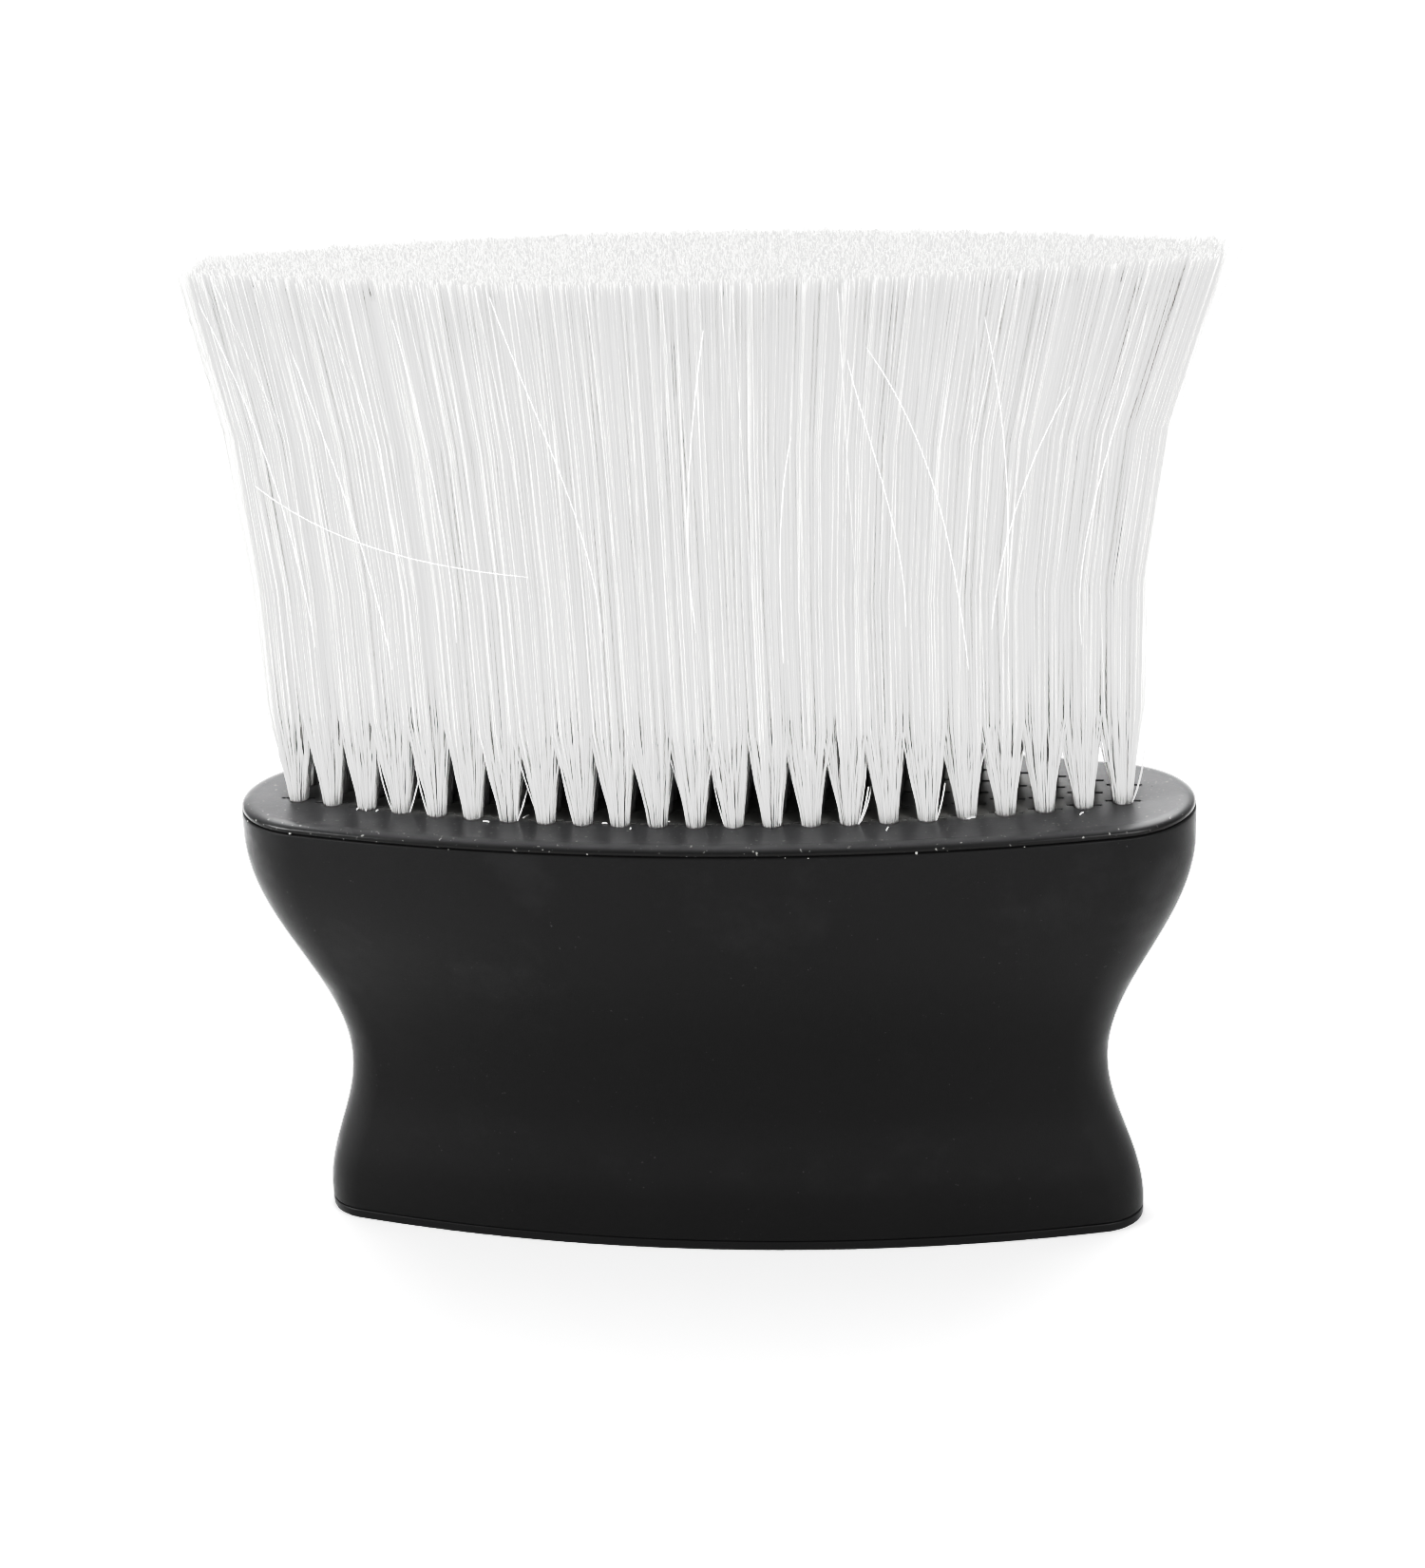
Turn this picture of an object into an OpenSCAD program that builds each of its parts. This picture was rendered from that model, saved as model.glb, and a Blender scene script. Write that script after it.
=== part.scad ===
// Neck duster brush: a hollow waisted handle, closed below by a base cap and above by a thick
// bristle plate, with tufts of nylon filament that flat metal anchors hold in blind holes.
// Frame: +Z up, origin on the floor under the middle of the base, front toward -Y, width along X.

/* [Handle] */
// Width of the handle at its rim
rim_w = 120; // [112:1:126]
// Depth of the handle at its rim
rim_d = 35.5; // [33:0.5:38]
// Radius of the two rounded ends at the rim
rim_end_r = 11.5; // [10:0.5:13]
// Width of the handle at its waist
waist_w = 97.8; // [92:0.2:104]
// Depth of the handle at its waist
waist_d = 23; // [21:0.5:26]
// Width of the base
base_w = 106.6; // [102:0.2:110]
// Depth of the base
base_d = 25; // [23:0.5:27]
// Radius of the two rounded ends at the base
base_end_r = 6.2; // [5.5:0.1:7.5]
// Height of the seam between handle and bristle plate
seam_z = 56.8; // [54:0.2:60]
// Height of the narrowest place of the waist
waist_z = 22; // [20:0.5:24]
// Height at which the flare from the waist reaches its full width
flare_end_z = 53.4; // [52:0.2:54]
// Wall thickness of the hollow handle
wall = 2.2; // [2:0.1:2.6]

/* [Base cap] */
// Height of the cap's edge that shows below the handle
cap_edge_h = 1.3; // [1:0.1:1.8]
// Thickness of the cap's floor
cap_floor = 2; // [1.8:0.1:2.6]
// How far the cap's spigot reaches up into the handle
spigot_h = 4; // [3.4:0.2:6]
// Wall thickness of the spigot
spigot_wall = 1.5; // [1.2:0.1:1.8]

/* [Bristle plate] */
// Rise of the plate's flat top above the seam
plate_rise = 1.2; // [1:0.1:1.6]
// Depth of the plate's plug inside the handle
plug_h = 6.6; // [6.2:0.2:8]
// Width of the rounded shoulder around the plate's top
shoulder_w = 1.7; // [1.2:0.1:2]

/* [Tufts] */
// Number of tufts in the front row (odd, so that one stands in the middle)
columns = 23; // [21:2:23]
// Spacing of the tufts along a row
pitch = 4.7; // [4.6:0.05:4.8]
// Spacing of the rows that the field aims for
row_pitch = 4; // [4:0.1:4.4]
// Half of the tufted field's depth in its middle
field_half_d = 10.6; // [10.2:0.1:10.8]
// Radius of the arc that the outer rows follow
field_arc_r = 170; // [168:2:190]
// Sideways offset of the tufted field on the plate
field_x = -0.6; // [-0.8:0.1:0.8]
// Rearward offset of the tufted field on the plate
field_y = 0.5; // [0:0.1:0.6]
// Diameter of a tuft hole
hole_d = 2.4; // [2.3:0.05:2.5]
// Depth of a tuft hole
hole_h = 6.2; // [5.8:0.1:6.4]
// Height to which the filaments are trimmed above the floor
trim_z = 126.2; // [118:0.2:130]
// Half width of the whole fan of tufts at the trimmed top
fan_half_w = 61; // [58:0.5:62]
// Half depth of the whole fan of tufts at the trimmed top
fan_half_d = 12.6; // [12.6:0.2:14]

/* [Anchors] */
// Length of a flat anchor across its hole
anchor_l = 3.6; // [3.2:0.1:3.8]
// Height of the anchor strip
anchor_h = 1.6; // [1.2:0.1:1.8]
// Thickness of the anchor strip
anchor_t = 0.3; // [0.25:0.05:0.35]

/* [Hidden] */

fit_gap = 0.1;          // play between a plug or spigot and its socket
end_gap = 0.2;          // play at the end of a plug or spigot
bead = 0.8;             // side of the square glue beads
base_land_h = 2;        // straight height of the outer wall above the floor
ring_step = 2.4;        // height between the rings of the handle's surface
arc_steps = 16;         // points along each side arc of an outline
end_steps = 12;         // points around each rounded end of an outline
middle_wall = 2.6;      // wall of the handle between its two sockets
fold_h = 0.9;           // height of the filaments folded under an anchor
stem_gap = 0.08;        // play between a tuft and its hole
tuft_gap = 0.06;        // room between a tuft and the border of its cell
spread_h = 12.5;        // height above the plate at which neighbouring tufts meet
tuft_sides = 8;         // flat sides of a tuft

plate_z = seam_z + plate_rise;
plug_z = seam_z - plug_h;
hole_z = plate_z - hole_h;
anchor_z = hole_z + fold_h;
stem_r = hole_d / 2 - stem_gap;
last_col = (columns - 1) / 2;

// ---- outlines: two long side arcs that run tangent into two round ends ----

// Closed outline of half length a, half depth b and end radius r, counter-clockwise
function outline(a, b, r) =
    let (
        c = a - r,
        side_r = (c * c + b * b - r * r) / (2 * (b - r)),
        side_y = side_r - b,
        turn = atan2(side_y, c)
    )
    concat(
        [for (i = [0 : end_steps - 1])
            let (t = -turn + 2 * turn * i / end_steps) [c + r * cos(t), r * sin(t)]],
        [for (i = [0 : arc_steps - 1])
            let (t = turn + (180 - 2 * turn) * i / arc_steps)
            [side_r * cos(t), side_r * sin(t) - side_y]],
        [for (i = [0 : end_steps - 1])
            let (t = 180 - turn + 2 * turn * i / end_steps) [-c + r * cos(t), r * sin(t)]],
        [for (i = [0 : arc_steps - 1])
            let (t = 180 + turn + (180 - 2 * turn) * i / arc_steps)
            [side_r * cos(t), side_r * sin(t) + side_y]]
    );

// The outline [a, b, r] made smaller all round by an inset
function shrink(abr, inset) = [for (v = abr) v - inset];

// One ring of 3-D points: the outline [a, b, r] at height z
function ring(abr, z) = [for (p = outline(abr[0], abr[1], abr[2])) [p[0], p[1], z]];

rim = [rim_w / 2, rim_d / 2, rim_end_r];
waist = [waist_w / 2, waist_d / 2, base_end_r];
base = [base_w / 2, base_d / 2, base_end_r];

// Cosine ease from 0 to 1 while z runs from z0 to z1
function ease(z, z0, z1) = (1 - cos(180 * max(0, min(1, (z - z0) / (z1 - z0))))) / 2;

// Outer outline of the handle at height z: base, waist and rim blended by two eased curves
function handle_abr(z) =
    z < waist_z
        ? base + (waist - base) * ease(z, base_land_h, waist_z)
        : waist + (rim - waist) * ease(z, waist_z, flare_end_z);

socket = shrink(rim, wall);                       // outline of the shell's upper socket
plug = shrink(socket, fit_gap);
lower_socket = shrink(base, wall);                // outline of the shell's lower socket
spigot = shrink(lower_socket, fit_gap);
spigot_z = cap_edge_h + spigot_h;
ledge_z = plug_z - end_gap;                       // bottom of the upper socket
stop_z = spigot_z + end_gap;                      // top of the lower socket

// ---- solids from stacks of rings ----

// A closed solid from rings of equal point count; with tube=true the last ring joins the first
module ring_stack(rings, tube = false) {
    n = len(rings[0]);
    m = len(rings);
    bands = tube ? m : m - 1;
    sides = [for (k = [0 : bands - 1], i = [0 : n - 1])
        let (k2 = (k + 1) % m, i2 = (i + 1) % n)
        each [
            [k * n + i, k2 * n + i, k2 * n + i2],
            [k * n + i, k2 * n + i2, k * n + i2]
        ]];
    ends = tube ? [] : [[for (i = [0 : n - 1]) i], [for (i = [n - 1 : -1 : 0]) (m - 1) * n + i]];
    polyhedron(points = [for (r = rings) each r], faces = concat(sides, ends), convexity = 6);
}

// ---- the tufted field ----

function column_x(col) = col * pitch;
function column_half_d(col) =
    field_half_d - (field_arc_r - sqrt(pow(field_arc_r, 2) - pow(column_x(col), 2)));
function column_count(col) = round(2 * column_half_d(col) / row_pitch) + 1;
function row_gap(col) = 2 * column_half_d(col) / (column_count(col) - 1);
function spot_y(col, row) = -column_half_d(col) + (row - 1) * row_gap(col);

// Columns that have a tuft in this row, counted from the front
function row_columns(row) = [for (col = [-last_col : last_col]) if (row <= column_count(col)) col];

// Puts a child at each hole of a row
module at_holes(row) {
    for (col = row_columns(row))
        translate([column_x(col) + field_x, spot_y(col, row) + field_y, 0]) children();
}

// A ring of the tuft's outline: centre x, y, height z, half sizes rx, ry
function tuft_ring(x, y, z, rx, ry) =
    [for (i = [0 : tuft_sides - 1])
        let (t = 360 * (i + 0.5) / tuft_sides) [x + rx * cos(t), y + ry * sin(t), z]];

// One tuft: a stem in its hole, a flare above the plate, and a length that leans outward
module tuft(col, row) {
    x = column_x(col);
    y = spot_y(col, row);
    widening = 1.06;                              // of a tuft's width between flare and top
    narrowing = 0.97;                             // of its depth
    settling = 0.8;                               // share of the field's offset left at the flare
    root_gap = 0.05;                              // above the bottom of the hole
    play = 0.02;                                  // round the anchor
    past = 1;                                     // how far the anchor's slot runs past the tuft
    half_gap_x = pitch / 2 - tuft_gap;
    half_gap_y = min(row_gap(col) / 2, half_gap_x) - tuft_gap;
    top_rx = half_gap_x * widening;
    top_ry = half_gap_y * narrowing;
    lean_x = (fan_half_w - top_rx * cos(180 / tuft_sides)) / column_x(last_col);
    lean_y = (fan_half_d - top_ry) / field_half_d;
    difference() {
        ring_stack([
            tuft_ring(x + field_x, y + field_y, hole_z + root_gap, stem_r, stem_r),
            tuft_ring(x + field_x, y + field_y, plate_z, stem_r, stem_r),
            tuft_ring(x + field_x * settling, y + field_y * settling, plate_z + spread_h,
                half_gap_x, half_gap_y),
            tuft_ring(x * lean_x, y * lean_y, trim_z, top_rx, top_ry)
        ]);
        translate([x + field_x, y + field_y, anchor_z + anchor_h / 2])
            cube([hole_d + past, anchor_t + play, anchor_h + play], center = true);
    }
}

// ---- sub-parts ----

// Hollow outer body of the handle, open at both ends
module handle_shell() {
    levels = ceil((seam_z - cap_edge_h) / ring_step);
    inner_levels = 9;
    outside = [for (k = [0 : levels])
        let (z = cap_edge_h + (seam_z - cap_edge_h) * k / levels) ring(handle_abr(z), z)];
    top_socket = [
        ring(shrink(socket, -bead), seam_z),
        ring(shrink(socket, -bead), seam_z - bead),
        ring(socket, seam_z - bead),
        ring(socket, ledge_z)
    ];
    cavity = [for (k = [0 : inner_levels])
        let (z = ledge_z + (stop_z - ledge_z) * k / inner_levels)
        ring(shrink(handle_abr(z), middle_wall), z)];
    lower = [
        ring(lower_socket, stop_z),
        ring(lower_socket, cap_edge_h + bead),
        ring(shrink(lower_socket, -bead), cap_edge_h + bead),
        ring(shrink(lower_socket, -bead), cap_edge_h)
    ];
    color("#1d1d1e")
        ring_stack(concat(outside, top_socket, cavity, lower), tube = true);
}

// Cap that closes the handle below and is the face it stands on
module base_cap() {
    edge = 0.4;
    color("#202021")
        ring_stack([
            ring(shrink(base, edge), 0),
            ring(base, edge),
            ring(base, cap_edge_h),
            ring(spigot, cap_edge_h),
            ring(spigot, spigot_z),
            ring(shrink(spigot, spigot_wall), spigot_z),
            ring(shrink(spigot, spigot_wall), cap_floor)
        ]);
}

// Thick plate with a rounded shoulder, a plug below it, and a blind hole and slit for each tuft
module bristle_plate() {
    shoulder_steps = 5;
    land = 0.2;                                   // upright height of the plate's edge
    setback = 0.15;                               // of that edge behind the handle's
    past = 1;                                     // how far holes and slits are cut past the top
    slit_h = plate_z - anchor_z + past;
    color("#2f2f31")
        difference() {
            ring_stack(concat(
                [ring(plug, plug_z), ring(plug, seam_z), ring(shrink(rim, setback), seam_z)],
                [for (k = [0 : shoulder_steps])
                    let (t = 90 * k / shoulder_steps)
                    ring(shrink(rim, shoulder_w * (1 - cos(t))),
                        seam_z + land + (plate_rise - land) * sin(t))]
            ));
            for (row = [1 : 6]) at_holes(row) {
                translate([0, 0, hole_z]) cylinder(h = hole_h + past, d = hole_d, $fn = 32);
                translate([0, 0, anchor_z + slit_h / 2])
                    cube([anchor_l, anchor_t, slit_h], center = true);
            }
        }
}

// Square ring of adhesive between two outlines
module glue_ring(outer, inner, z, h) {
    translate([0, 0, z]) linear_extrude(h) difference() {
        polygon(outline(outer[0], outer[1], outer[2]));
        polygon(outline(inner[0], inner[1], inner[2]));
    }
}

// Adhesive that holds the plate's plug in the rebate of the handle's rim
module plate_glue_bead() {
    color("#4a4846") glue_ring(shrink(socket, -bead), plug, seam_z - bead, bead);
}

// Adhesive that holds the cap's spigot in the rebate of the handle's foot
module base_glue_bead() {
    color("#4a4846") glue_ring(shrink(lower_socket, -bead), spigot, cap_edge_h, bead);
}

// All tufts of one row, each a separate bundle of filaments
module tuft_row(row) {
    color("#f2f2ef") for (col = row_columns(row)) tuft(col, row);
}

// All anchors of one row: flat strips pressed across the holes, over which the tufts are folded
module anchor_row(row) {
    color("#b9bcc0") at_holes(row)
        translate([0, 0, anchor_z + anchor_h / 2]) cube([anchor_l, anchor_t, anchor_h], center = true);
}

handle_shell();
base_cap();
bristle_plate();
plate_glue_bead();
base_glue_bead();
tuft_row(1);  // tuft_row_1
tuft_row(2);  // tuft_row_2
tuft_row(3);  // tuft_row_3
tuft_row(4);  // tuft_row_4
tuft_row(5);  // tuft_row_5
tuft_row(6);  // tuft_row_6
anchor_row(1);  // anchor_row_1
anchor_row(2);  // anchor_row_2
anchor_row(3);  // anchor_row_3
anchor_row(4);  // anchor_row_4
anchor_row(5);  // anchor_row_5
anchor_row(6);  // anchor_row_6
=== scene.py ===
"""Neck duster brush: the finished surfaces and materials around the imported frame.

Run as a script it builds every piece, one operator after another, and leaves the scene ready to
render. All lengths are in metres and every piece stands where the frame says.
"""

import math

import bpy
import numpy as np
from bpy.props import FloatProperty, FloatVectorProperty, IntProperty, PointerProperty
from mathutils import Matrix, Vector


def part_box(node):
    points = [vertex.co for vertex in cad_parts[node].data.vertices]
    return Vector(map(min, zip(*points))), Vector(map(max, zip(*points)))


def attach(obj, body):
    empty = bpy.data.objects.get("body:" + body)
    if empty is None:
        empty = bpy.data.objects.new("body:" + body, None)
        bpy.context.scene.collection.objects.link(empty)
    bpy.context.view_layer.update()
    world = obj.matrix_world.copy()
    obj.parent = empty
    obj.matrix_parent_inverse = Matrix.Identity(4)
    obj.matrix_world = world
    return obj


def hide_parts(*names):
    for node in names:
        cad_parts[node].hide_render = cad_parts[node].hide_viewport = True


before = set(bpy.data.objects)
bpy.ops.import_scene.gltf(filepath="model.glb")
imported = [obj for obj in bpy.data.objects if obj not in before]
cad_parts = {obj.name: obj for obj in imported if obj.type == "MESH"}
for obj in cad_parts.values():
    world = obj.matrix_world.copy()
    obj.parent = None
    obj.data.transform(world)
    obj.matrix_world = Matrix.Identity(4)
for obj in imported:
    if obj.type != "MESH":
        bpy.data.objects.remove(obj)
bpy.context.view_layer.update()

bl_info = {
    "name": "Neck Duster Brush",
    "version": (1, 0, 0),
    "blender": (4, 5, 0),
    "location": "3D View > Sidebar > Duster",
    "description": "Builds a barber's neck duster: hand block, bristle plate and nylon tufts",
    "category": "Add Mesh",
}

MM = 0.001
SHELL_LOW, SHELL_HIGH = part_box("handle_shell")
PLATE_LOW, PLATE_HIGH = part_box("bristle_plate")
CAP_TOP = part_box("base_cap")[1].z
TRIM_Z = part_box("tuft_row_1")[1].z
ROWS = 6
SEAM_Z = SHELL_HIGH.z
FOOT_Z = SHELL_LOW.z
PLATE_Z = PLATE_HIGH.z


# ---------------------------------------- sizes and colours


class HandleSizes(bpy.types.PropertyGroup):
    """Sizes of the hollow hand block."""

    waist_width: FloatProperty(
        name="Waist width", description="Width of the handle at its waist", default=0.0978, unit="LENGTH")
    waist_depth: FloatProperty(
        name="Waist depth", description="Depth of the handle at its waist", default=0.023, unit="LENGTH")
    waist_height: FloatProperty(
        name="Waist height", description="Height of the narrowest place", default=0.022, unit="LENGTH")
    flare_end: FloatProperty(
        name="Flare end", description="Height where the flare has its full width",
        default=0.0534, unit="LENGTH")
    base_width: FloatProperty(
        name="Base width", description="Width of the foot", default=0.1066, unit="LENGTH")
    base_depth: FloatProperty(
        name="Base depth", description="Depth of the foot", default=0.025, unit="LENGTH")
    rim_end_radius: FloatProperty(
        name="Rim end radius", description="Radius of the rim's round ends", default=0.0115, unit="LENGTH")
    base_end_radius: FloatProperty(
        name="Base end radius", description="Radius of the foot's round ends",
        default=0.0062, unit="LENGTH")
    wall: FloatProperty(
        name="Wall", description="Wall thickness of the hollow handle", default=0.0022, unit="LENGTH")
    seam_round: FloatProperty(
        name="Seam rounding", description="Rounding of the edges that meet at the seams",
        default=0.0003, unit="LENGTH")


class PlateSizes(bpy.types.PropertyGroup):
    """Sizes of the bristle plate and of its holes."""

    shoulder: FloatProperty(
        name="Shoulder", description="Width of the rounded shoulder round the top",
        default=0.0017, unit="LENGTH")
    hole_diameter: FloatProperty(
        name="Hole", description="Diameter of a tuft hole", default=0.0024, unit="LENGTH")
    hole_depth: FloatProperty(
        name="Hole depth", description="Depth of a tuft hole", default=0.0062, unit="LENGTH")
    slit_width: FloatProperty(
        name="Slit width", description="Width of the slit that an anchor cuts",
        default=0.0004, unit="LENGTH")
    slit_length: FloatProperty(
        name="Slit length", description="Length of the slit that an anchor cuts",
        default=0.0042, unit="LENGTH")


class TuftSizes(bpy.types.PropertyGroup):
    """Sizes of the nylon filaments and of how the tufts spread."""

    diameter: FloatProperty(
        name="Filament", description="Diameter of one filament",
        default=0.00015, unit="LENGTH", precision=5)
    count: IntProperty(
        name="Filaments", description="Filament ends in one tuft", default=380, min=20)
    root_radius: FloatProperty(
        name="Root radius", description="Radius of a tuft where it leaves its hole",
        default=0.00103, unit="LENGTH")
    flare_height: FloatProperty(
        name="Flare height", description="Height above the plate where neighbouring tufts meet",
        default=0.0155, unit="LENGTH")
    bend_height: FloatProperty(
        name="Bend height", description="Height above the plate where the fan starts to open",
        default=0.022, unit="LENGTH")
    spread: FloatProperty(
        name="Spread", description="Share by which the fan widens at its top", default=0.14)
    spread_skew: FloatProperty(
        name="Spread skew", description="How much more the fan opens to the right", default=0.038)


class Colours(bpy.types.PropertyGroup):
    """Base colours, linear."""

    handle: FloatVectorProperty(
        name="Handle", description="Matte black of the handle",
        subtype="COLOR", default=(0.0055, 0.0055, 0.0057))
    plate: FloatVectorProperty(
        name="Plate", description="Dark grey of the bristle plate",
        subtype="COLOR", default=(0.052, 0.052, 0.053))
    nylon: FloatVectorProperty(
        name="Nylon", description="White of the filaments", subtype="COLOR", default=(0.95, 0.95, 0.945))
    glue: FloatVectorProperty(
        name="Adhesive", description="Cured adhesive", subtype="COLOR", default=(0.05, 0.049, 0.047))
    anchor: FloatVectorProperty(
        name="Anchor", description="Flat drawn wire", subtype="COLOR", default=(0.55, 0.55, 0.56))
    floor: FloatVectorProperty(
        name="Floor", description="Plain pale floor", subtype="COLOR", default=(0.97, 0.97, 0.97))


class StageSettings(bpy.types.PropertyGroup):
    """Camera and light."""

    azimuth: FloatProperty(
        name="Azimuth", description="How far the camera stands to the right", subtype="ANGLE",
        default=math.radians(8.55))
    elevation: FloatProperty(
        name="Elevation", description="How far the camera looks down", subtype="ANGLE",
        default=math.radians(22.11))
    roll: FloatProperty(
        name="Roll", description="Tilt of the picture", subtype="ANGLE", default=math.radians(-3.08))
    distance: FloatProperty(
        name="Distance", description="Camera to target", default=0.4505, unit="LENGTH")
    target_height: FloatProperty(
        name="Target height", description="Height that the camera aims at", default=0.0592, unit="LENGTH")
    lens: FloatProperty(
        name="Lens", description="Focal length in millimetres", default=83.0)
    world: FloatProperty(
        name="Surroundings", description="Brightness of the white surroundings", default=0.85)
    overhead: FloatProperty(
        name="Overhead", description="Brightness straight above, as a share of the surroundings",
        default=0.5)
    key: FloatProperty(
        name="Key", description="Power of the large lamp at the left, in watts", default=20.0)


class DusterSettings(bpy.types.PropertyGroup):
    """Everything a user would change."""

    handle: PointerProperty(type=HandleSizes)
    plate: PointerProperty(type=PlateSizes)
    tuft: PointerProperty(type=TuftSizes)
    colour: PointerProperty(type=Colours)
    stage: PointerProperty(type=StageSettings)


# ---------------------------------------- shader maths


class Signal:
    """A node output that takes part in sums, products and powers."""

    def __init__(self, finish, socket):
        self.finish = finish
        self.socket = socket

    def math(self, operation, first, second):
        return self.finish.node("Math", {"operation": operation}, {0: first, 1: second})

    def __add__(self, other):
        return self.math("ADD", self, other)

    def __radd__(self, other):
        return self.math("ADD", other, self)

    def __sub__(self, other):
        return self.math("SUBTRACT", self, other)

    def __rsub__(self, other):
        return self.math("SUBTRACT", other, self)

    def __mul__(self, other):
        return self.math("MULTIPLY", self, other)

    def __rmul__(self, other):
        return self.math("MULTIPLY", other, self)


class Finish:
    """A material with a Principled shader, and one method that adds any node before it."""

    def __init__(self, name):
        self.material = bpy.data.materials.new(name)
        self.material.use_nodes = True
        self.tree = self.material.node_tree
        self.shader = self.tree.nodes["Principled BSDF"]
        self.place = self.node("TexCoord", output="Object")

    def node(self, kind, settings=None, inputs=None, output=0):
        """Adds a node: its settings first, then the values or links of its sockets."""
        made = self.tree.nodes.new("ShaderNode" + kind)
        for key, value in (settings or {}).items():
            setattr(made, key, value)
        for key, value in (inputs or {}).items():
            self.plug(made.inputs[key], value)
        return Signal(self, made.outputs[output])

    def plug(self, socket, value):
        if isinstance(value, Signal):
            self.tree.links.new(value.socket, socket)
        else:
            socket.default_value = value

    def along(self, axis):
        """The X, Y or Z of the Object coordinates, for an axis of 0, 1 or 2."""
        return self.node("SeparateXYZ", None, {0: self.place}, output=axis)

    def principled(self, values):
        for key, value in values.items():
            self.plug(self.shader.inputs[key], value)

    def noise(self, scale, detail=2.0, roughness=0.5, place=None):
        """Noise from 0 to 1 whose features are about 1 / scale metres wide."""
        return self.node("TexNoise", None, {
            "Vector": place or self.place, "Scale": scale, "Detail": detail, "Roughness": roughness})

    def stretched(self, x, y, z):
        """Object coordinates scaled along each axis."""
        scale = (1 / x, 1 / y, 1 / z)
        return self.node("Mapping", {"vector_type": "TEXTURE"}, {"Vector": self.place, "Scale": scale})

    def band(self, value, low, high):
        """0 below low, 1 above high, smooth between them."""
        return self.node("MapRange", {"interpolation_type": "SMOOTHSTEP"}, {
            "Value": value, "From Min": low, "From Max": high})

    def blend(self, factor, first, second):
        """Colour blend of first and second."""
        return self.node("Mix", {"data_type": "RGBA"}, {0: factor, 6: first, 7: second}, output=2)

    def bump(self, height, distance, strength=1.0, normal=None):
        """Normal bent by a height from 0 to 1 that stands for a distance in metres."""
        inputs = {"Height": height, "Distance": distance, "Strength": strength}
        if normal:
            inputs["Normal"] = normal
        return self.node("Bump", None, inputs)


DARK_DUST = (0.16, 0.16, 0.155, 1.0)
# This pale colour serves both for real dust specks and for painted bounce light between the tufts.
PALE_DUST_AND_BOUNCE_LIGHT = (0.25, 0.25, 0.24, 1.0)


def shade(colour, factor):
    """A linear colour made lighter or darker, with full alpha."""
    return tuple(min(1.0, c * factor) for c in colour) + (1.0,)


def moulded_black(name, colour, gloss):
    """Matte black moulded plastic: spark-eroded grain, soft flow mottling, fine dust and paler rubbed
    patches, with painted shade that darkens the waist and the foot."""
    made = Finish(name)
    height = made.along(2)
    # Painted shade: darker bands by height round the waist and at the foot, with fewer pale rubbed patches
    # in them.
    waist_shade = made.band(height, 44 * MM, 27 * MM) * made.band(height, 13 * MM, 20 * MM)
    foot = made.band(height, 11 * MM, 6 * MM)
    painted_shade = made.node("Clamp", None, {0: waist_shade + foot})
    mottle = made.noise(130, 4, 0.55)
    flow = made.noise(34, 3, 0.5, made.stretched(1.0, 1.0, 0.35))
    rubbed = made.band(made.noise(70, 5, 0.6), 0.52, 0.72)
    dust = made.band(made.noise(2600, 1, 0.4), 0.74, 0.80) * made.band(made.noise(160, 2, 0.5), 0.5, 0.64)
    body = made.blend(mottle * 0.6 + flow * 0.4, shade(colour, 0.72), shade(colour, 1.34))
    worn = made.blend(rubbed * (0.45 - 0.3 * painted_shade), body, shade(colour, 2.2))
    shaded_body = made.blend(0.55 * painted_shade, worn, shade(colour, 0.3))
    dusty = made.blend(dust * 0.16, shaded_body, DARK_DUST)
    grain = made.noise(5200, 2, 0.6)
    orange_peel = made.noise(420, 2, 0.5)
    coarse = made.bump(orange_peel, 0.04 * MM, 0.35)
    made.principled({
        "Base Color": dusty,
        "Roughness": gloss + 0.16 * (mottle - 0.5) - 0.10 * rubbed + 0.08 * (grain - 0.5),
        "Normal": made.bump(grain, 0.02 * MM, 0.7, coarse),
        "Specular IOR Level": 0.2,
    })
    return made.material


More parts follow.
